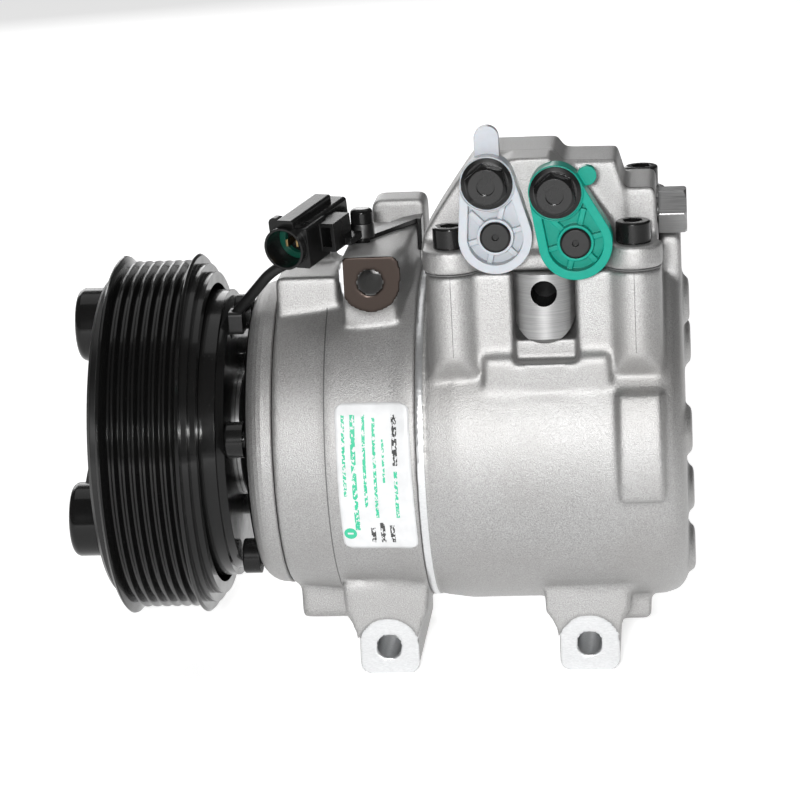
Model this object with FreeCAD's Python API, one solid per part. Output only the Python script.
import FreeCAD, Part
import math
import os

# Automotive air-conditioning compressor: swash-plate type, magnetic clutch,
# ribbed-belt pulley.  Units are millimetres.
# X runs along the shaft from pulley to rear end, Y away from the ported side,
# Z up.  The origin is on the shaft axis, in the mid-plane of the belt.

V = FreeCAD.Vector
OUT = "parts"
os.makedirs(OUT, exist_ok=True)

# ---- driving dimensions -------------------------------------------------
RIB_PITCH = 3.56          # ribbed-belt pitch
RIB_COUNT = 7
RIM_R = 64.2              # pulley flange radius
CREST_R = 62.1            # rib crest radius
ROOT_R = 59.4             # rib groove root radius
RIM_X0 = -14.3            # front flange plane
RIM_X1 = 14.1             # rear flange plane
FRICTION_X = -13.6        # friction face of the pulley
CLUTCH_GAP = 0.5          # air gap of the armature plate
ARM_T = 4.6               # armature plate thickness
CUP_CIRCLE = 41.0         # radius the three damper cups sit on
CUP_R = 13.0
CUP_FRONT = -29.2

HEAD_X0 = 34.0            # front head
HEAD_X1 = 44.5
BAND_X0 = 94.25           # main joint between the two castings
BAND_X1 = 96.9
REAR_X = 184.6            # rear end face
CAVITY_R = 50.5           # inside radius of the castings
SWASH_X = 95.6            # centre of the swash plate
CHAMBER = 20.0            # half length of the swash chamber
PISTONS = 5
PISTON_CIRCLE = 34.0
BORE_R = 13.75
STROKE_HALF = 12.0
BOLT_CIRCLE = 45.5
BOLT_PHASE = 84.0         # degrees from -Y towards +Z
BOLT_R = 3.5
SHAFT_R = 9.0

EAR_X = 79.5
FOOT1_X = 78.9
FOOT2_X = 149.3
EAR_Z = 62.0
FOOT_Z = -70.4
FOOT_BASE = -80.3
LEAD_R = 1.9
LUG_BORE = 4.25
BRACKET_XY = (74.9, -11.6)
STRIP_Z = 70.9
EAR_Y0 = -38.0
EAR_Y1 = 6.0
FOOT_Y0 = -34.0
FOOT_Y1 = 28.0

SCREW_XY = ((108.3, -48.0), (169.2, -48.0), (171.5, 6.0))
COLUMN_R = 8.9
DECK_Z = 67.2             # joint plane under the manifold block
GASKET_T = 0.4
SEAT_Z = 75.5
REAR_SEAT_Z = 83.6
BLOCK_TOP = 105.7
SLEEVE_X = 139.0
SLEEVE_Y = -46.0
SLEEVE_R = 10.4
SLEEVE_Z0 = 43.2
DUCT_XY = ((156.0, 2.0), (156.0, -20.0))


# ---- primitives ---------------------------------------------------------
def cyl_x(r, x0, x1, y=0.0, z=0.0):
    return Part.makeCylinder(r, x1 - x0, V(x0, y, z), V(1, 0, 0))


def cyl_y(r, y0, y1, x, z):
    return Part.makeCylinder(r, y1 - y0, V(x, y0, z), V(0, 1, 0))


def cyl_z(r, z0, z1, x, y):
    return Part.makeCylinder(r, z1 - z0, V(x, y, z0), V(0, 0, 1))


def box(x0, x1, y0, y1, z0, z1):
    return Part.makeBox(x1 - x0, y1 - y0, z1 - z0, V(x0, y0, z0))


def ring_x(ro, ri, x0, x1, y=0.0, z=0.0):
    return cyl_x(ro, x0, x1, y, z).cut(cyl_x(ri, x0 - 1, x1 + 1, y, z))


def turned(profile):
    """Solid of revolution about X from (x, r) corners."""
    pts = [V(x, 0, r) for x, r in profile]
    face = Part.Face(Part.makePolygon(pts + [pts[0]]))
    return face.revolve(V(0, 0, 0), V(1, 0, 0), 360)


def turned_y(profile, x, z):
    """Solid of revolution about an axis along Y from (y, r) corners."""
    pts = [V(x + r, y, z) for y, r in profile]
    face = Part.Face(Part.makePolygon(pts + [pts[0]]))
    return face.revolve(V(x, 0, z), V(0, 1, 0), 360)


def turned_z(profile, x, y):
    """Solid of revolution about an axis along Z from (z, r) corners."""
    pts = [V(x + r, y, z) for z, r in profile]
    face = Part.Face(Part.makePolygon(pts + [pts[0]]))
    return face.revolve(V(x, y, 0), V(0, 0, 1), 360)


def prism_y(points, y0, y1):
    """Extrude (x, z) corners along Y."""
    pts = [V(x, y0, z) for x, z in points]
    return Part.Face(Part.makePolygon(pts + [pts[0]])).extrude(V(0, y1 - y0, 0))


def prism_x(points, x0, x1):
    """Extrude (y, z) corners along X."""
    pts = [V(x0, y, z) for y, z in points]
    return Part.Face(Part.makePolygon(pts + [pts[0]])).extrude(V(x1 - x0, 0, 0))


def joined(shapes):
    first = shapes[0]
    if len(shapes) > 1:
        first = first.fuse(shapes[1:])
    return first.removeSplitter()


def less(shape, tools):
    return shape.cut(tools).removeSplitter()


def soft(shape, direction, radius):
    """Round the straight edges that run along one direction."""
    picked = []
    for edge in shape.Edges:
        if edge.Curve.TypeId != "Part::GeomLine":
            continue
        run = edge.Vertexes[-1].Point - edge.Vertexes[0].Point
        if abs(run.normalize().dot(direction)) > 0.999:
            picked.append(edge)
    return shape.makeFillet(radius, picked)


def on_circle(radius, degrees):
    """Y and Z of a point, angle measured from -Y towards +Z."""
    a = math.radians(degrees)
    return -radius * math.cos(a), radius * math.sin(a)


def bolt_angles():
    return [BOLT_PHASE + 360.0 / PISTONS * k for k in range(PISTONS)]


def bore_angles():
    return [a + 180.0 / PISTONS for a in bolt_angles()]


def hexagon_x(flats, x0, x1, y, z, turn=0.0):
    pts = []
    for k in range(6):
        a = math.radians(60 * k + turn)
        r = flats / 2 / math.cos(math.pi / 6)
        pts.append((y + r * math.cos(a), z + r * math.sin(a)))
    return prism_x(pts, x0, x1)


def hexagon_y(flats, y0, y1, x, z, turn=0.0):
    body = hexagon_x(flats, 0, y1 - y0, 0, 0, turn)
    body.rotate(V(0, 0, 0), V(0, 0, 1), 90)
    body.translate(V(x, y0, z))
    return body


def hexagon_z(flats, z0, z1, x, y, turn=0.0):
    body = hexagon_x(flats, 0, z1 - z0, 0, 0, turn)
    body.rotate(V(0, 0, 0), V(0, 1, 0), -90)
    body.translate(V(x, y, z0))
    return body


def export(name, shape):
    shape.exportStep(os.path.join(OUT, name + ".step"))


# ---- clutch ---------------------------------------------------------------
def pulley():
    half = RIB_PITCH * RIB_COUNT / 2
    rim = [(FRICTION_X, 53.6), (FRICTION_X, 58.6), (RIM_X0, 59.4), (RIM_X0, RIM_R - 0.8), (RIM_X0 + 0.8, RIM_R)]
    rim.append((-half - 0.5, RIM_R - 0.2))
    for k in range(RIB_COUNT):
        x = -half + RIB_PITCH * k
        rim += [(x + 0.35, CREST_R), (x + 1.4, ROOT_R), (x + RIB_PITCH - 1.4, ROOT_R)]
        rim.append((x + RIB_PITCH - 0.35, CREST_R))
    rim += [(half + 0.5, RIM_R - 0.2), (RIM_X1 - 0.8, RIM_R), (RIM_X1, RIM_R - 0.8)]
    rim += [(RIM_X1, 60.6), (16.6, 60.6), (16.6, 57.6), (19.2, 57.6), (19.2, 53.6)]
    outer = turned(rim)
    web = turned([(FRICTION_X, 31.0), (FRICTION_X, 54.0), (-8.4, 54.0), (-8.4, 31.0)])
    hub = turned([(-12.4, 27.5), (-12.4, 33.0), (14.0, 33.0), (14.0, 27.5)])
    shape = joined([outer, web, hub])
    slots = []
    for k in range(6):
        for r0, r1, phase in ((37.4, 39.2, 0), (46.4, 48.2, 30)):
            slot = ring_x(r1, r0, FRICTION_X - 1, -7.4)
            keep = Part.makeCylinder(60, 10, V(FRICTION_X - 2, 0, 0), V(1, 0, 0), 46)
            keep.rotate(V(0, 0, 0), V(1, 0, 0), 60 * k + phase)
            slots.append(slot.common(keep))
    return less(shape, slots)


def bearing_outer():
    tracks = [turned_groove(-5.0, 22.5, 3.7), turned_groove(5.0, 22.5, 3.7)]
    return less(ring_x(27.5, 24.2, -10.0, 10.0), tracks)


def bearing_inner():
    tracks = [turned_groove(-5.0, 22.5, 3.7), turned_groove(5.0, 22.5, 3.7)]
    return less(ring_x(20.8, 17.5, -10.0, 10.0), tracks)


def turned_groove(x, r, tube):
    return Part.makeTorus(r, tube, V(x, 0, 0), V(1, 0, 0))


def bearing_balls():
    balls = []
    for x in (-5.0, 5.0):
        for k in range(14):
            y, z = on_circle(22.5, 360.0 / 14 * k)
            balls.append(Part.makeSphere(3.3, V(x, y, z)))
    return balls


def bearing_cage():
    cages = []
    for x in (-5.0, 5.0):
        side = -1 if x < 0 else 1
        a, b = sorted((x + side * 0.4, x + side * 3.9))
        cages.append(ring_x(23.5, 21.5, a, b))
    return [c.cut(bearing_balls()) for c in cages]


def bearing_seals():
    return [ring_x(24.2, 21.4, -9.9, -9.1), ring_x(24.2, 21.4, 9.1, 9.9)]


def nose_ring():
    gap = box(-13, -9, -2.5, 2.5, -20, 0)
    return ring_x(19.4, 16.4, -11.4, -10.0).cut(gap)


def coil_ring():
    gap = box(24, 30, -3, 3, -30, 0)
    return ring_x(22.4, 19.0, 27.2, 28.6).cut(gap)


def coil_shell():
    profile = [(-7.2, 35.2), (-7.2, 36.8), (22.0, 36.8), (22.0, 49.6), (-7.2, 49.6)]
    profile += [(-7.2, 51.2), (24.6, 51.2), (24.6, 35.2)]
    shell = turned(profile)
    plate = ring_x(37.0, 20.0, 24.6, 27.2)
    rim = turned([(24.6, 35.2), (24.6, 49.0), (27.2, 47.6), (27.2, 35.2)])
    y, z = on_circle(43.0, 72)
    return less(joined([shell, plate, rim]), [cyl_x(3.2, 20, 30, y, z)])


def coil_winding():
    return ring_x(48.9, 37.5, -5.6, 20.4)


def coil_potting():
    block = ring_x(49.6, 36.8, -7.0, 22.0)
    return less(block, [coil_winding()])


def lead_route():
    """Straight runs of the coil lead from the gland to the connector."""
    entry = plug_point(V(LEAD_ENTRY[0], LEAD_ENTRY[1], -3.5))
    return [V(28.4, -16.0, 46.0), V(44.2, -24.4, 64.0), V(54.0, -24.8, 68.2), entry]


def rounded_path(points):
    """Join straight runs with tangent arcs as large as the runs allow."""
    edges = []
    here = points[0]
    for k in range(1, len(points) - 1):
        a = points[k - 1] - points[k]
        b = points[k + 1] - points[k]
        back = 0.45 * min(a.Length, b.Length)
        a.normalize()
        b.normalize()
        half = math.acos(max(-1, min(1, a.dot(b)))) / 2
        bend = back * math.tan(half)
        print("lead bend radius", round(bend, 2))
        start = points[k] + a * back
        stop = points[k] + b * back
        middle = (a + b).normalize()
        centre = points[k] + middle * (bend / math.sin(half))
        top = centre - middle * bend
        edges.append(Part.makeLine(here, start))
        edges.append(Part.Arc(start, top, stop).toShape())
        here = stop
    edges.append(Part.makeLine(here, points[-1]))
    return Part.Wire(edges)


def tube_along(points, radius):
    path = rounded_path(points)
    run = (points[1] - points[0]).normalize()
    ring = Part.Wire(Part.makeCircle(radius, points[0], run))
    return path.makePipeShell([ring], True, False)


def coil_lead():
    return tube_along(lead_route(), LEAD_R)


def lead_gland():
    y, z = on_circle(43.0, 72)
    block = soft(box(27.2, 32.0, -20.0, -11.0, 40.4, 48.4), V(1, 0, 0), 1.4)
    return less(joined([block, cyl_x(3.2, 22.0, 27.4, y, z)]), [coil_lead()])


def armature_plate():
    x1 = FRICTION_X - CLUTCH_GAP
    disc = turned([(x1 - ARM_T, 24.0), (x1 - ARM_T, 56.0), (x1 - ARM_T + 1.2, 57.4), (x1, 57.4), (x1, 24.0)])
    slots = []
    for k in range(3):
        slot = ring_x(43.6, 41.8, x1 - ARM_T - 1, x1 + 1)
        keep = Part.makeCylinder(60, 20, V(x1 - 12, 0, 0), V(1, 0, 0), 70)
        keep.rotate(V(0, 0, 0), V(1, 0, 0), 120 * k + 25)
        slots.append(slot.common(keep))
    holes = [cyl_x(2.6, x1 - 12, x1 + 1, *on_circle(CUP_CIRCLE, a)) for a in (90, 210, 330)]
    return less(disc, slots + holes)


def damper_pins():
    x1 = FRICTION_X - CLUTCH_GAP
    pins = []
    for a in (90, 210, 330):
        y, z = on_circle(CUP_CIRCLE, a)
        pin = [cyl_x(2.6, CUP_FRONT + 2.6, x1 - 0.4, y, z), cyl_x(4.6, x1 - ARM_T - 1.2, x1 - ARM_T, y, z)]
        pins.append(joined(pin))
    return pins


def hub_plate():
    plate = cyl_x(20.0, -24.6, -21.6)
    arms = []
    for a in (90, 210, 330):
        arm = box(-24.6, -21.6, -11.0, 11.0, 0, CUP_CIRCLE)
        arm.rotate(V(0, 0, 0), V(1, 0, 0), 90 - a)
        arms.append(arm)
    cups = [cyl_x(CUP_R, CUP_FRONT, -19.4, *on_circle(CUP_CIRCLE, a)) for a in (90, 210, 330)]
    cups = [c.makeFillet(2.6, [e for e in c.Edges if e.BoundBox.XMax < CUP_FRONT + 0.1]) for c in cups]
    wells = [cyl_x(CUP_R - 1.8, CUP_FRONT + 1.8, -18, *on_circle(CUP_CIRCLE, a)) for a in (90, 210, 330)]
    shape = joined([plate] + arms + cups)
    return less(shape, wells + [cyl_x(11.0, -30, -15)])


def hub_boss():
    return turned([(-21.6, 7.0), (-21.6, 15.0), (-18.6, 15.0), (-18.6, 11.6), (-13.8, 11.6),
                   (-13.8, 7.0)])


def damper_rubbers():
    rubbers = []
    for a in (90, 210, 330):
        y, z = on_circle(CUP_CIRCLE, a)
        rubbers.append(ring_x(CUP_R - 1.8, 2.68, CUP_FRONT + 3.4, -20.4, y, z))
    return rubbers


def hub_bolt():
    head = hexagon_x(10.0, -26.7, -23.4, 0, 0, 30)
    washer = cyl_x(8.4, -23.4, -22.6)
    shank = cyl_x(3.0, -22.6, -8.0)
    return joined([head, washer, shank])


def hub_washer():
    return ring_x(9.6, 3.0, -22.6, -21.6)


def hub_shims():
    return ring_x(10.6, 7.0, -13.8, -13.1)


# ---- shaft and swash mechanism ---------------------------------------------
def shaft():
    profile = [(-21.2, 3.0), (-21.2, 6.5), (-20.6, 7.0), (-13.1, 7.0), (-13.1, 8.0), (30.0, 8.0)]
    profile += [(31.0, SHAFT_R), (139.0, SHAFT_R), (140.0, 8.0), (140.0, 0.0), (-8.0, 0.0), (-8.0, 3.0)]
    return turned(profile)


def shaft_seal():
    lip = turned([(4.0, 8.05), (4.0, 9.2), (10.0, 9.2), (10.0, 13.0), (16.0, 13.0), (16.0, 10.2), (11.4, 9.2),
                  (11.4, 8.05)])
    return lip


def seal_retainer():
    return ring_x(13.9, 10.6, 2.6, 4.0)


def tilt():
    return math.degrees(math.atan(STROKE_HALF / PISTON_CIRCLE))


def swash_axis_turn(shape):
    shape.rotate(V(SWASH_X, 0, 0), V(0, 1, 0), tilt())
    return shape


def swash_plate():
    disc = swash_axis_turn(cyl_x(41.6, SWASH_X - 3.5, SWASH_X + 3.5))
    hub = cyl_x(15.5, SWASH_X - 16.0, SWASH_X + 16.0)
    return less(joined([disc, hub]), [cyl_x(SHAFT_R + 0.06, 60, 130)])


def piston_shift(angle):
    z = math.sin(math.radians(angle))
    return STROKE_HALF * z


def pistons():
    out = []
    for a in bore_angles():
        y, z = on_circle(PISTON_CIRCLE, a)
        xc = SWASH_X + piston_shift(a)
        body = cyl_x(BORE_R - 0.05, xc - 36.0, xc + 36.0, y, z)
        notch = box(xc - 9.6, xc + 9.6, -30, 30, -30, 8.6)
        waist = [box(xc - 26.0, xc - 13.6, -30, 30, -30, -3.0), box(xc + 13.6, xc + 26.0, -30, 30, -30, -3.0)]
        tools = [notch] + waist
        for tool in tools:
            tool.rotate(V(xc, 0, 0), V(1, 0, 0), 90 - a)
            tool.translate(V(0, y, z))
        ball = Part.makeSphere(11.2, V(xc, y, z))
        grooves = [ring_x(BORE_R + 1, BORE_R - 1.2, xc + s, xc + s + 2.0, y, z) for s in (-34.0, 32.0)]
        body = less(body, tools + [ball] + grooves)
        out.append(body)
    return out


def piston_rings():
    out = []
    for a in bore_angles():
        y, z = on_circle(PISTON_CIRCLE, a)
        xc = SWASH_X + piston_shift(a)
        out += [ring_x(BORE_R, BORE_R - 1.2, xc + s, xc + s + 2.0, y, z) for s in (-34.0, 32.0)]
    return out


def shoes():
    out = []
    for a in bore_angles():
        y, z = on_circle(PISTON_CIRCLE, a)
        xc = SWASH_X + piston_shift(a)
        lean = math.radians(tilt())
        normal = V(math.cos(lean), 0, -math.sin(lean))
        centre = V(xc, y, z)
        offset = (centre - V(SWASH_X, 0, 0)).dot(normal)
        ball = Part.makeSphere(11.2, centre)
        for side in (-1, 1):
            base = centre + normal * (side * 3.5 - offset)
            pin = Part.makeCylinder(7.2, 20, base, normal * side)
            out.append(ball.common(pin))
    return out


def thrust_bearing(x0, x1):
    a = ring_x(15.5, 9.4, x0, x0 + 1.0)
    b = ring_x(15.5, 9.4, x1 - 1.0, x1)
    rollers = []
    for k in range(14):
        roller = cyl_z((x1 - x0) / 2 - 1.0, 10.2, 15.0, (x0 + x1) / 2, 0)
        roller.rotate(V((x0 + x1) / 2, 0, 0), V(1, 0, 0), 360.0 / 14 * k)
        rollers.append(roller)
    return [a, b] + rollers


def needle_bearing(x0, x1):
    sleeve = ring_x(13.0, 11.95, x0, x1)
    needles = []
    for k in range(18):
        y, z = on_circle(10.5, 20.0 * k)
        needles.append(cyl_x(1.45, x0 + 1, x1 - 1, y, z))
    return [sleeve] + needles


# ---- castings ---------------------------------------------------------------
def bolt_holes(x0, x1, radius):
    return [cyl_x(radius, x0, x1, *on_circle(BOLT_CIRCLE, a)) for a in bolt_angles()]


def bores(x0, x1):
    return [cyl_x(BORE_R, x0, x1, *on_circle(PISTON_CIRCLE, a)) for a in bore_angles()]


def front_head():
    rounding = []
    for k in range(9):
        a = math.radians(11.25 * k)
        rounding.append((HEAD_X0 + 8.4 - 8.4 * math.cos(a), 45.6 + 8.4 * math.sin(a)))
    outer = turned([(HEAD_X0, 0)] + rounding + [(HEAD_X1 - 0.4, 54.2), (HEAD_X1, 53.8), (HEAD_X1, 0)])
    nose = turned([(-12.4, 0), (-12.4, 16.6), (-11.4, 17.5), (10.0, 17.5), (10.0, 19.2), (14.0, 20.0),
                   (27.2, 20.0), (HEAD_X0, 24.0), (HEAD_X0, 0)])
    discharge = ring_x(32.5, 17.5, 39.0, HEAD_X1 + 1)
    suction = ring_x(CAVITY_R - 2.0, 35.5, 39.0, HEAD_X1 + 1)
    posts = [cyl_x(6.4, 39.0, HEAD_X1, *on_circle(BOLT_CIRCLE, a)) for a in bolt_angles()]
    posts = [p.common(cyl_x(CAVITY_R - 1.5, 30, 50)) for p in posts]
    shape = less(joined([outer, nose]), [discharge, suction])
    shape = joined([shape] + posts)
    bore = [cyl_x(9.4, -14, 2.6), cyl_x(13.9, 2.6, 4.0), cyl_x(13.0, 2.6, 16.0), cyl_x(9.8, 15, 50)]
    grooves = [ring_x(19, 16.4, -11.4, -10.0), ring_x(22, 19.0, 27.2, 28.6)]
    seats = bolt_holes(HEAD_X0 - 2, HEAD_X1 + 1, BOLT_R)
    return less(shape, bore + grooves + seats)


def lug(x, z, y0, y1, base, side):
    """Bore lug with a round end and a squared end on the side of base."""
    half = 10.5
    far = z - side * 8
    end = cyl_y(half, y0, y1, x, z).common(box(x - 20, x + 20, y0, y1, min(base, far - 8), max(base, far + 8)))
    block = soft(box(x - half, x + half, y0, y1, min(base, far), max(base, far)), V(0, 1, 0), 3.6)
    keep = box(x - 20, x + 20, y0 - 1, y1 + 1, min(z, base), max(z, base))
    return joined([end.cut(keep), block.common(keep)])


def foot(x):
    """Foot lug under a neck that overhangs the spot face and flares into the drum."""
    body = lug(x, FOOT_Z, FOOT_Y0, FOOT_Y1, FOOT_BASE, -1)
    half = [(10.4, -68.0), (11.2, -63.5), (12.6, -60.5), (14.6, -57.6), (15.2, -46.0)]
    corners = [(x - h, z) for h, z in half] + [(x + h, z) for h, z in reversed(half)]
    root = prism_y(corners, FOOT_Y0 - 3.0, FOOT_Y1)
    root = less(root, [cyl_y(11.1, FOOT_Y0 - 20, FOOT_Y0, x, FOOT_Z)])
    return joined([body, root])


def ear():
    """Upper ear: spot-faced lug in front of a deep cast block."""
    body = lug(EAR_X, EAR_Z, EAR_Y0, EAR_Y1, EAR_Z + 8.9, 1)
    block = prism_x([(EAR_Y0 + 1.6, 51.6), (EAR_Y0 + 2.2, 47.0), (-20.0, 40.0), (24.0, 40.0), (24.0, EAR_Z + 8.4),
                     (EAR_Y0 + 3.0, EAR_Z + 8.4), (EAR_Y0 + 1.6, EAR_Z + 7.0)], EAR_X - 9.9, EAR_X + 11.9)
    slope = prism_z_plate([(EAR_X + 8.0, EAR_Y0 - 1), (EAR_X + 13.0, EAR_Y0 - 1), (EAR_X + 13.0, -12.0)], 40.0, 80.0)
    return joined([body, less(block, [slope])])


def front_outer():
    return turned([(HEAD_X1, 0), (HEAD_X1, 53.9), (HEAD_X1 + 0.5, 54.7), (62.6, 56.4), (63.0, 56.0),
                   (63.4, 56.9), (86.0, 58.4), (90.5, 59.2), (BAND_X0, 59.2), (BAND_X0, 0)])


def front_casting():
    pad = soft(box(45.4, 67.2, -26.6, 9.0, 44.0, 61.8), V(0, 1, 0), 2.0)
    post = soft(box(53.4, 63.0, -1.0, 9.0, 56.0, 65.2), V(0, 1, 0), 1.2)
    lug_block = soft(box(74.2, 93.6, 27.0, 43.0, 30.0, 77.4), V(0, 1, 0), 3.0)
    keel = soft(box(46.8, 84.0, -20.0, 20.0, -64.4, -50.0), V(0, 1, 0), 1.6)
    shape = joined([front_outer(), pad, post, ear(), lug_block, keel, foot(FOOT1_X)])
    shape = shape.common(box(HEAD_X1, BAND_X0, -90, 90, -90, 110))
    shape = joined([shape, cyl_x(53.5, BAND_X0 - 1, 99.6)])
    chamber = cyl_x(CAVITY_R, SWASH_X - CHAMBER, 110)
    recess = cyl_x(CAVITY_R, HEAD_X1 - 1, 47.3)
    centre = [cyl_x(13.0, 52.0, 80.0), cyl_x(10.4, 40, 60)]
    holes = [cyl_y(LUG_BORE, -60, 60, FOOT1_X, FOOT_Z), cyl_y(LUG_BORE, -60, EAR_Y1 - 14.0, EAR_X, EAR_Z)]
    rims = [Part.makeCone(LUG_BORE + 1.6, LUG_BORE, 1.6, V(FOOT1_X, FOOT_Y0 - 0.8, FOOT_Z), V(0, 1, 0))]
    rims.append(Part.makeCone(LUG_BORE + 1.6, LUG_BORE, 1.6, V(EAR_X, EAR_Y0 - 0.8, EAR_Z), V(0, 1, 0)))
    groove = ring_x(60, 51.9, 96.2, 98.2)
    tools = [chamber, recess, groove] + centre + holes + rims + bores(40, 80) + bolt_holes(40, 110, BOLT_R)
    tools.append(cyl_z(2.5, 67.2, 90, *BRACKET_XY))
    return less(shape, tools)


def main_oring():
    return ring_x(53.5, 51.9, 96.2, 98.2)





def valve_plate(x0, x1, shaft_hole):
    tools = bolt_holes(x0 - 1, x1 + 1, BOLT_R)
    for a in bore_angles():
        y, z = on_circle(27.0, a)
        tools.append(cyl_x(3.2, x0 - 1, x1 + 1, y, z))
        y, z = on_circle(42.0, a)
        tools.append(cyl_x(3.6, x0 - 1, x1 + 1, y, z))
    disc = cyl_x(CAVITY_R, x0, x1)
    if shaft_hole:
        tools.append(cyl_x(9.8, x0 - 1, x1 + 1))
    return less(disc, tools)


def suction_reed(x0, x1, shaft_hole):
    tools = bolt_holes(x0 - 1, x1 + 1, BOLT_R)
    for a in bore_angles():
        y, z = on_circle(42.0, a)
        window = ring_x(5.6, 4.4, x0 - 1, x1 + 1, y, z)
        hinge = box(x0 - 1, x1 + 1, -4.4, 4.4, -20, 0)
        hinge.rotate(V(0, 0, 0), V(1, 0, 0), 90 - a)
        hinge.translate(V(0, y, z))
        y, z = on_circle(27.0, a)
        tools += [window.cut(hinge), cyl_x(3.2, x0 - 1, x1 + 1, y, z)]
    disc = cyl_x(CAVITY_R, x0, x1)
    if shaft_hole:
        tools.append(cyl_x(9.8, x0 - 1, x1 + 1))
    return less(disc, tools)


def discharge_reed(x0, x1):
    hub = ring_x(24.0, 17.6, x0, x1)
    petals = []
    for a in bore_angles():
        arm = box(x0, x1, -4.2, 4.2, 18.0, 27.0)
        arm.rotate(V(0, 0, 0), V(1, 0, 0), 90 - a)
        petals += [arm, cyl_x(4.2, x0, x1, *on_circle(27.0, a))]
    return less(joined([hub] + petals), [cyl_x(17.6, x0 - 1, x1 + 1)])


def head_gasket(x0, x1):
    outer = ring_x(CAVITY_R, CAVITY_R - 2.0, x0, x1)
    middle = ring_x(35.5, 32.5, x0, x1)
    pads = [cyl_x(6.4, x0, x1, *on_circle(BOLT_CIRCLE, a)) for a in bolt_angles()]
    pads = [p.common(cyl_x(CAVITY_R, x0, x1)) for p in pads]
    spokes = []
    for a in bolt_angles():
        spoke = box(x0, x1, -1.4, 1.4, 34.0, 42.0)
        spoke.rotate(V(0, 0, 0), V(1, 0, 0), 90 - a)
        spokes.append(spoke)
    web = less(joined([outer, middle] + pads + spokes), bolt_holes(x0 - 1, x1 + 1, BOLT_R))
    return [web, ring_x(17.4, 13.0, x0, x1)]


def rear_block():
    disc = cyl_x(CAVITY_R, SWASH_X + CHAMBER, 143.9)
    centre = [cyl_x(13.0, 110.0, 136.6), cyl_x(10.4, 110.0, 141.0)]
    return less(disc, centre + bores(110, 150) + bolt_holes(110, 150, BOLT_R))


def column(x, y, z0, z1):
    """Screw column, backed by a web, with a flat undercut across its foot."""
    post = joined([cyl_z(COLUMN_R, z0, z1, x, y), box(x - COLUMN_R, x + COLUMN_R, y, y + 20, z0, z1)])
    relief = prism_x([(y - 12.0, 43.0), (y - 2.0, 27.4), (y - 2.0, 20.0), (y - 12.0, 20.0)], x - 20, x + 20)
    return less(post, [relief])


def rear_outer():
    band = cyl_x(59.4, BAND_X0, BAND_X1)
    shell = turned([(BAND_X1, 0), (BAND_X1, 58.6), (98.4, 59.4), (108.0, 60.8), (176.0, 60.6), (181.0, 59.0),
                    (183.8, 55.5), (REAR_X, 52.0), (REAR_X, 0)])
    return joined([band, shell])


def pedestal():
    """Cast seat that carries the manifold block on the rear casting."""
    posts = [column(x, y, 22.0, DECK_Z) for x, y in SCREW_XY[:2]]
    core = box(112.0, 166.0, -52.5, 22.0, 35.0, DECK_Z)
    platform = prism_x([(-54.6, 24.0), (-55.4, 37.4), (-52.5, 40.0), (-20.0, 40.0), (-20.0, 24.0)], 118.0, 160.2)
    rear_post = cyl_z(9.4, 30.0, DECK_Z, *SCREW_XY[2])
    bridge = box(160.0, 178.0, -44.5, 14.0, 40.0, DECK_Z)
    fin = soft(box(177.6, 184.6, -17.0, 10.0, 40.0, 70.6), V(0, 1, 0), 1.6)
    web = box(164.0, 184.6, -17.0, 10.0, 40.0, DECK_Z)
    shape = joined(posts + [core, platform, rear_post, bridge, fin, web])
    pocket = box(SLEEVE_X - 10.6, SLEEVE_X + 10.6, -70.0, -48.6, 36.2, DECK_Z + 1)
    return less(shape, [pocket])


def rear_casting():
    nubs = [cyl_x(8.2, 160, 187.0, *on_circle(BOLT_CIRCLE, a)) for a in bolt_angles()]
    nubs = [n.makeFillet(1.2, [e for e in n.Edges if e.BoundBox.XMin > 186.9]) for n in nubs]
    block = soft(box(160.0, 171.0, -24.0, 20.0, -65.4, -50.0), V(0, 1, 0), 1.6)
    rib = cyl_x(63.2, 162.4, 177.6).common(box(160, 180, -70, -30, -11.0, 25.8))
    shape = joined([rear_outer(), pedestal(), foot(FOOT2_X), block, rib] + nubs)
    cavity = [cyl_x(53.5, BAND_X0 - 1, 99.6), cyl_x(CAVITY_R, BAND_X0 - 1, 146.7)]
    suction = ring_x(CAVITY_R - 2.0, 35.5, 140, 178.0)
    discharge = ring_x(32.5, 17.5, 140, 176.0)
    posts = [cyl_x(6.4, 146.7, 179.0, *on_circle(BOLT_CIRCLE, a)) for a in bolt_angles()]
    shape = less(shape, cavity + [suction, discharge])
    shape = joined([shape] + [p.common(cyl_x(CAVITY_R - 1.5, 146, 179)) for p in posts])
    ducts = [cyl_z(r, z, DECK_Z + 1, *DUCT_XY[k]) for k, (r, z) in enumerate(((6.0, 44.0), (5.0, 28.0)))]
    screws = [cyl_z(3.4, 46.0, DECK_Z + 1, x, y) for x, y in SCREW_XY]
    rims = [Part.makeCone(LUG_BORE + 1.6, LUG_BORE, 1.6, V(FOOT2_X, FOOT_Y0 - 0.8, FOOT_Z), V(0, 1, 0))]
    holes = [cyl_y(LUG_BORE, -60, 60, FOOT2_X, FOOT_Z)]
    seat = [cyl_z(SLEEVE_R, SLEEVE_Z0 - 0.2, DECK_Z + 1, SLEEVE_X, SLEEVE_Y)]
    return less(shape, ducts + screws + rims + holes + seat + bolt_holes(140, 178, BOLT_R))


def through_bolts():
    out = []
    for a in bolt_angles():
        y, z = on_circle(BOLT_CIRCLE, a)
        head = cyl_x(6.2, 27.9, HEAD_X0, y, z)
        head = head.makeFillet(0.7, [e for e in head.Edges if e.BoundBox.XMax < 28.0])
        socket = hexagon_x(5.2, 27.0, 31.0, y, z)
        shank = cyl_x(BOLT_R, HEAD_X0, 172.0, y, z)
        out.append(joined([less(head, [socket]), shank]))
    return out


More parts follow.
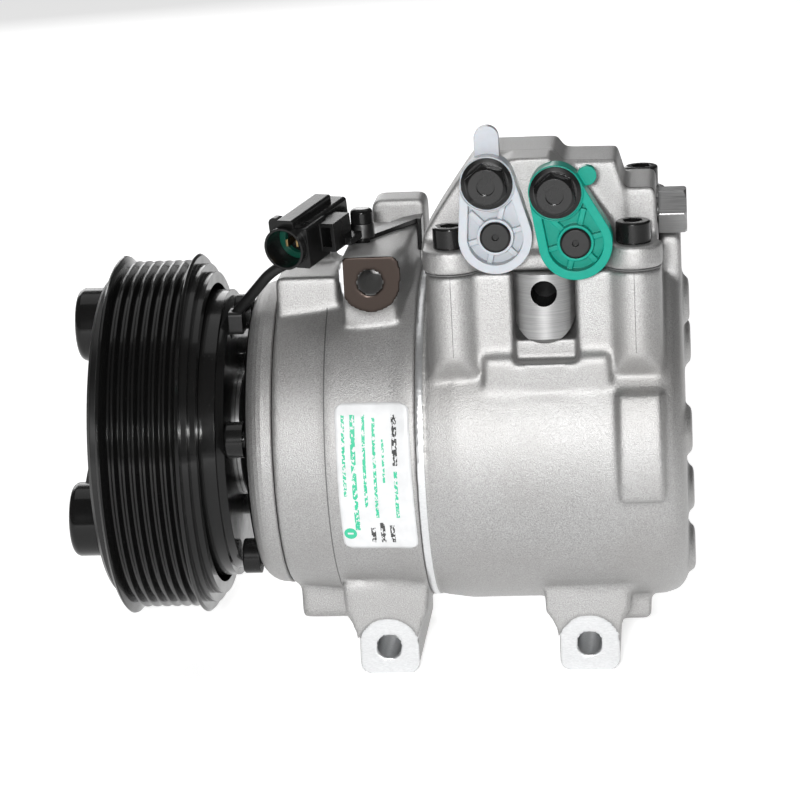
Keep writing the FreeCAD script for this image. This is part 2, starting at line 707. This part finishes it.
# ---- manifold --------------------------------------------------------------
def turned_sleeve():
    """Machined upright boss whose lower end is rounded off towards the front."""
    body = cyl_z(SLEEVE_R, SLEEVE_Z0, DECK_Z - 0.4, SLEEVE_X, SLEEVE_Y)
    middle = SLEEVE_Z0 + SLEEVE_R
    outline = joined([cyl_y(SLEEVE_R + 0.02, -60, -30, SLEEVE_X, middle),
                      box(SLEEVE_X - 12, SLEEVE_X + 12, -60, -30, middle, 70)])
    body = body.common(outline)
    ease = Part.makeCone(SLEEVE_R - 2.2, SLEEVE_R + 2.2, 4.4, V(SLEEVE_X, SLEEVE_Y - SLEEVE_R - 0.6, middle), V(0, 1, 0))
    lower = box(SLEEVE_X - 12, SLEEVE_X + 12, -60, -52.6, 40, middle)
    body = body.cut(lower.cut(ease))
    hole = cyl_y(4.3, -60.0, -42.0, SLEEVE_X + 0.2, 60.4)
    return less(body, [hole])


def manifold_gasket():
    plate = [cyl_z(COLUMN_R, DECK_Z, DECK_Z + GASKET_T, x, y) for x, y in SCREW_XY[:2]]
    plate.append(box(101.0, 176.0, -49.6, 9.0, DECK_Z, DECK_Z + GASKET_T))
    holes = [cyl_z(4.0, 60, 70, x, y) for x, y in SCREW_XY]
    holes += [cyl_z(6.0, 60, 70, *DUCT_XY[0]), cyl_z(5.0, 60, 70, *DUCT_XY[1])]
    return less(joined(plate), holes)


def manifold_block():
    z0 = DECK_Z + GASKET_T
    flange = [cyl_z(COLUMN_R + 0.7, z0, SEAT_Z, x, y) for x, y in SCREW_XY[:2]]
    flange.append(box(98.8, 169.2, -48.0, 10.0, z0, SEAT_Z))
    flange.append(box(108.3, 169.2, -51.0, 10.0, z0, SEAT_Z))
    flange.append(box(160.0, 177.2, -48.0, 10.0, z0, SEAT_Z))
    outline = [(97.4, SEAT_Z - 3), (98.6, 78.0), (103.4, 85.6), (109.8, 94.8), (114.8, 101.6), (119.4, BLOCK_TOP),
               (143.6, BLOCK_TOP), (146.4, 101.8), (164.0, 101.4), (166.4, 93.0), (167.0, SEAT_Z - 3)]
    tower = prism_y(outline, -40.0, -11.0)
    front = prism_y([(112.6, SEAT_Z - 4), (113.2, 94.0), (121.0, 103.0), (129.6, BLOCK_TOP), (142.4, BLOCK_TOP),
                     (149.4, 99.0), (162.4, 80.4), (163.2, SEAT_Z - 4)], CAP_Y1, -20.0)
    under = prism_x([(CAP_Y1 - 1, SEAT_Z - 5), (CAP_Y1 - 1, 76.4), (-51.0, 72.6), (-51.0, SEAT_Z - 5)], 110, 166)
    pad = soft(box(164.0, 176.8, -39.0, -4.0, SEAT_Z - 3, 91.8), V(0, 1, 0), 1.8)
    rear = cyl_z(8.4, 71.2, REAR_SEAT_Z, *SCREW_XY[2])
    shape = joined(flange + [less(joined([tower, front]), [under]), pad, rear])
    holes = [cyl_z(4.0, 60, 110, x, y) for x, y in SCREW_XY]
    clear = [cyl_z(6.4, SEAT_Z, 100, x, y) for x, y in SCREW_XY[:2]]
    clear.append(cyl_z(6.8, REAR_SEAT_Z, 110, *SCREW_XY[2]))
    ports = [cyl_y(7.2, -60, -30, *WHITE_PORT), cyl_y(6.2, -60, -30, *GREEN_PORT)]
    studs = [cyl_y(3.0, -60, -36, *WHITE_BOLT), cyl_y(3.0, -60, -36, *GREEN_BOLT)]
    ducts = [cyl_z(6.0, 60, 73.0, *DUCT_XY[0]), cyl_z(5.0, 60, 76.0, *DUCT_XY[1])]
    notches = [cap_outline(WHITE_BOLT, WHITE_PORT, 9.2, 12.4, CAP_Y0, CAP_Y1)]
    notches.append(cap_outline(GREEN_BOLT, GREEN_PORT, 9.2, 12.4, CAP_Y0, CAP_Y1))
    thread = cyl_x(4.4, 166.0, 190.0, VALVE_Y, VALVE_Z)
    return less(shape, holes + clear + ports + studs + ducts + notches + [thread])


WHITE_BOLT = (122.4, 99.4)
WHITE_PORT = (124.4, 81.3)
GREEN_BOLT = (144.6, 95.7)
GREEN_PORT = (150.6, 78.5)
VALVE_Y = -14.0
VALVE_Z = 78.9
CAP_Y0 = -63.3            # front rim of the port caps
CAP_Y1 = -54.3            # port face of the manifold block


def cap_outline(bolt, port, small, large, y0, y1):
    """Teardrop prism: two round ends and the tangent band between them."""
    bx, bz = bolt
    px, pz = port
    run = math.hypot(px - bx, pz - bz)
    lead = math.atan2(pz - bz, px - bx)
    swing = math.acos((small - large) / run)
    corners = []
    for cx, cz, r, s in ((bx, bz, small, 1), (px, pz, large, 1), (px, pz, large, -1), (bx, bz, small, -1)):
        corners.append((cx + r * math.cos(lead + s * swing), cz + r * math.sin(lead + s * swing)))
    return joined([prism_y(corners, y0, y1), cyl_y(small, y0, y1, bx, bz), cyl_y(large, y0, y1, px, pz)])


def port_cap(bolt, port, tab):
    outer = cap_outline(bolt, port, 8.9, 12.1, CAP_Y0, CAP_Y1)
    inner = cap_outline(bolt, port, 6.0, 9.2, CAP_Y0 - 1, CAP_Y0 + 4.6)
    guard = cyl_y(9.6, CAP_Y0 - 2, CAP_Y0 + 6, *bolt)
    inner = less(inner, [guard])
    collar = cyl_y(6.0, CAP_Y0 + 1.0, CAP_Y1, *port)
    ribs = []
    for k in range(6):
        rib = box(-0.9, 0.9, CAP_Y0 + 2.6, CAP_Y1, 5.0, 11.5)
        rib.rotate(V(0, 0, 0), V(0, 1, 0), 60 * k + 15)
        rib.translate(V(port[0], 0, port[1]))
        ribs.append(rib.common(inner))
    shape = joined([less(outer, [inner]), collar, tab] + [r for r in ribs if r.Volume > 0.1])
    seat = cyl_y(9.2, CAP_Y0 - 2, CAP_Y0 + 0.6, *bolt)
    return less(shape, [seat, cyl_y(3.4, -70, -50, *bolt), cyl_y(5.1, -70, -50, *port)])


def white_tab():
    x, z = WHITE_BOLT
    return joined([box(x - 4.1, x + 4.1, CAP_Y1 - 3.4, CAP_Y1, z + 6.0, z + 14.0),
                   cyl_y(4.1, CAP_Y1 - 3.4, CAP_Y1, x, z + 14.0)])


def green_tab():
    x, z = GREEN_BOLT
    return cyl_y(3.2, CAP_Y1 - 3.4, CAP_Y1, x + 10.2, z + 4.2)


def white_cap():
    return port_cap(WHITE_BOLT, WHITE_PORT, white_tab())


def green_cap():
    return port_cap(GREEN_BOLT, GREEN_PORT, green_tab())


def cap_bolt(bolt):
    x, z = bolt
    flange = turned_y([(CAP_Y0 - 1.0, 0), (CAP_Y0 - 1.0, 7.2), (CAP_Y0 - 0.6, 8.5), (CAP_Y0 + 0.6, 8.5),
                       (CAP_Y0 + 0.6, 0)], x, z)
    nut = hexagon_y(12.4, CAP_Y0 - 6.4, CAP_Y0 - 0.8, x, z, 20)
    nut = nut.common(turned_y([(CAP_Y0 - 6.4, 0), (CAP_Y0 - 6.4, 5.7), (CAP_Y0 - 5.0, 7.3), (CAP_Y0 - 0.8, 7.3),
                               (CAP_Y0 - 0.8, 0)], x, z))
    dimple = cyl_y(2.9, CAP_Y0 - 8.0, CAP_Y0 - 5.4, x, z)
    shank = cyl_y(3.0, CAP_Y0, CAP_Y1 + 18.0, x, z)
    return joined([flange, less(nut, [dimple]), shank])


def port_plug(port):
    x, z = port
    profile = [(CAP_Y0 + 0.2, 0), (CAP_Y0 + 0.2, 4.4), (CAP_Y0 + 0.8, 5.1), (CAP_Y1, 5.1), (CAP_Y1, 6.1),
               (CAP_Y1 + 10.0, 6.1), (CAP_Y1 + 10.0, 0)]
    return less(turned_y(profile, x, z), [cyl_y(1.1, CAP_Y0 - 2, CAP_Y0 + 1.8, x, z)])


def manifold_screws():
    out = []
    for (x, y), seat in zip(SCREW_XY, (SEAT_Z, SEAT_Z, REAR_SEAT_Z)):
        head = cyl_z(5.8, seat, seat + 7.2, x, y)
        head = head.makeFillet(0.8, [e for e in head.Edges if e.BoundBox.ZMin > seat + 7.1])
        socket = hexagon_z(6.2, seat + 3.2, seat + 9.0, x, y, 12)
        shank = joined([cyl_z(4.0, DECK_Z, seat, x, y), cyl_z(3.4, 48.0, DECK_Z, x, y)])
        out.append(joined([less(head, [socket]), shank]))
    return out


def relief_valve():
    nut = hexagon_x(14.6, 177.4, 187.0, VALVE_Y, VALVE_Z, 0)
    nut = nut.common(turned_round(177.4, 187.0, 8.3, 0.9))
    stem = cyl_x(4.4, 168.0, 177.4, VALVE_Y, VALVE_Z)
    mouth = cyl_x(2.6, 182.0, 188.0, VALVE_Y, VALVE_Z)
    return less(joined([nut, stem]), [mouth])


def turned_round(x0, x1, radius, ease):
    body = turned([(x0, 0), (x0, radius), (x1 - ease, radius), (x1, radius - ease), (x1, 0)])
    body.translate(V(0, VALVE_Y, VALVE_Z))
    return body


# ---- connector and small parts ------------------------------------------------
PLUG_AT = V(51.0, -40.0, 74.7)
PLUG_TURN = -22.0
PLUG_RISE = 8.0
LEAD_ENTRY = (-2.5, 15.6)


def plug_point(point):
    """Where a point drawn in the connector's own frame ends up."""
    rise = FreeCAD.Rotation(V(1, 0, 0), PLUG_RISE)
    turn = FreeCAD.Rotation(V(0, 0, 1), PLUG_TURN)
    return turn.multVec(rise.multVec(point)) + PLUG_AT


def placed_plug(shape):
    """Carry a shape drawn along +Y from the origin to the connector's place."""
    shape.rotate(V(0, 0, 0), V(1, 0, 0), PLUG_RISE)
    shape.rotate(V(0, 0, 0), V(0, 0, 1), PLUG_TURN)
    shape.translate(PLUG_AT)
    return shape


def connector_shell():
    barrel = cyl_y(7.4, 0, 15.0, 0, 0)
    collar = cyl_y(8.0, 4.0, 6.0, 0, 0)
    body = soft(box(-6.6, 6.6, 9.0, 35.0, -6.0, 7.0), V(0, 1, 0), 1.2)
    cheek = soft(box(2.0, 8.0, 3.0, 17.0, -7.6, 6.4), V(0, 1, 0), 0.8)
    latch = soft(box(-3.0, 3.4, 2.4, 30.0, 6.0, 9.4), V(0, 1, 0), 0.8)
    wing = soft(box(-10.0, -5.0, 9.0, 12.0, -3.4, 7.6), V(0, 1, 0), 2.0)
    clip = less(box(6.0, 13.4, 12.0, 24.0, -4.6, 5.4), [box(8.4, 12.0, 10.0, 22.0, -3.0, 4.0)])
    arm = box(12.2, 15.6, 19.0, 27.0, -4.6, -2.2)
    shape = joined([barrel, collar, body, cheek, latch, wing, clip, arm])
    socket = cyl_y(6.6, -1, 12.0, 0, 0)
    return less(placed_plug(less(shape, [socket])), [coil_lead()])


def connector_seal():
    return placed_plug(cyl_y(6.6, 9.4, 11.4, 0, 0).cut(cyl_y(4.4, 7, 12, 0, 0)))


def connector_pins():
    return [placed_plug(box(x - 0.4, x + 0.4, 6.0, 12.0, -1.2, 1.2)) for x in (-2.0, 2.0)]


def bracket():
    """Flat strip under the spacer with a tab bent down at its far end."""
    corners = [(66.6, -15.6), (71.0, -17.0), (78.2, -9.4), (91.4, 16.4), (91.4, 25.0), (86.0, 19.6),
               (73.0, -6.4), (66.6, -9.4)]
    strip = prism_z_plate(corners, STRIP_Z, STRIP_Z + 1.5)
    tab = box(91.4, 92.9, 16.4, 25.0, 61.0, STRIP_Z + 1.5)
    return less(joined([strip, tab]), [cyl_z(2.5, 60, 80, *BRACKET_XY)])


def prism_z_plate(points, z0, z1):
    pts = [V(x, y, z0) for x, y in points]
    return Part.Face(Part.makePolygon(pts + [pts[0]])).extrude(V(0, 0, z1 - z0))


def bracket_spacer():
    return cyl_z(4.2, STRIP_Z + 1.5, 77.2, *BRACKET_XY).cut(cyl_z(2.5, 70, 80, *BRACKET_XY))


def bracket_screw():
    head = cyl_z(3.9, 77.2, 82.4, *BRACKET_XY)
    head = head.makeFillet(1.6, [e for e in head.Edges if e.BoundBox.ZMin > 82.3])
    return joined([head, cyl_z(2.5, 68.0, 77.2, *BRACKET_XY)])


def label():
    grown = turned([(66.0, 50), (66.0, 57.25), (86.0, 58.55), (90.5, 59.35), (95, 59.35), (95, 50)])
    window = prism_y([(66.7, 23.6), (67.2, -28.4), (92.8, -28.4), (92.0, 24.0)], -70, -20)
    return grown.cut(front_outer()).common(window).common(box(60, BAND_X0 - 0.2, -80, 0, -50, 50))


def build():
    single = {
        "pulley": pulley, "bearing_outer_race": bearing_outer, "bearing_inner_race": bearing_inner,
        "nose_snap_ring": nose_ring, "coil_snap_ring": coil_ring, "coil_shell": coil_shell,
        "coil_winding": coil_winding, "coil_potting": coil_potting, "coil_lead": coil_lead,
        "lead_gland": lead_gland, "armature_plate": armature_plate, "hub_plate": hub_plate,
        "hub_boss": hub_boss, "hub_bolt": hub_bolt, "hub_washer": hub_washer, "hub_shims": hub_shims,
        "shaft": shaft, "shaft_seal": shaft_seal, "seal_retainer": seal_retainer,
        "swash_plate": swash_plate, "front_head": front_head, "front_casting": front_casting,
        "main_oring": main_oring, "rear_block": rear_block,
        "rear_casting": rear_casting, "turned_sleeve": turned_sleeve, "manifold_gasket": manifold_gasket,
        "manifold_block": manifold_block, "white_cap": white_cap, "green_cap": green_cap,
        "relief_valve": relief_valve, "connector_shell": connector_shell, "connector_seal": connector_seal,
        "bracket": bracket, "bracket_spacer": bracket_spacer, "bracket_screw": bracket_screw, "label": label,
    }
    several = {
        "bearing_balls": bearing_balls, "bearing_cages": bearing_cage, "bearing_seals": bearing_seals,
        "damper_pins": damper_pins, "damper_rubbers": damper_rubbers, "pistons": pistons,
        "piston_rings": piston_rings, "shoes": shoes, "through_bolts": through_bolts,
        "manifold_screws": manifold_screws, "connector_pins": connector_pins,
    }
    for name, make in single.items():
        export(name, make())
    for name, make in several.items():
        export(name, Part.makeCompound(make()))
    export("thrust_bearings", Part.makeCompound(thrust_bearing(75.6, 79.6) + thrust_bearing(111.6, 115.6)))
    export("needle_bearings", Part.makeCompound(needle_bearing(54.0, 72.0) + needle_bearing(118.0, 136.0)))
    export("front_valve_plate", valve_plate(44.8, 47.0, True))
    export("rear_valve_plate", valve_plate(144.2, 146.4, False))
    export("suction_reeds", Part.makeCompound([suction_reed(47.0, 47.3, True), suction_reed(143.9, 144.2, False)]))
    export("discharge_reeds", Part.makeCompound([discharge_reed(44.5, 44.8), discharge_reed(146.4, 146.7)]))
    export("head_gaskets", Part.makeCompound(head_gasket(44.5, 44.8) + head_gasket(146.4, 146.7)))
    export("cap_bolts", Part.makeCompound([cap_bolt(WHITE_BOLT), cap_bolt(GREEN_BOLT)]))
    export("port_plugs", Part.makeCompound([port_plug(WHITE_PORT), port_plug(GREEN_PORT)]))


build()
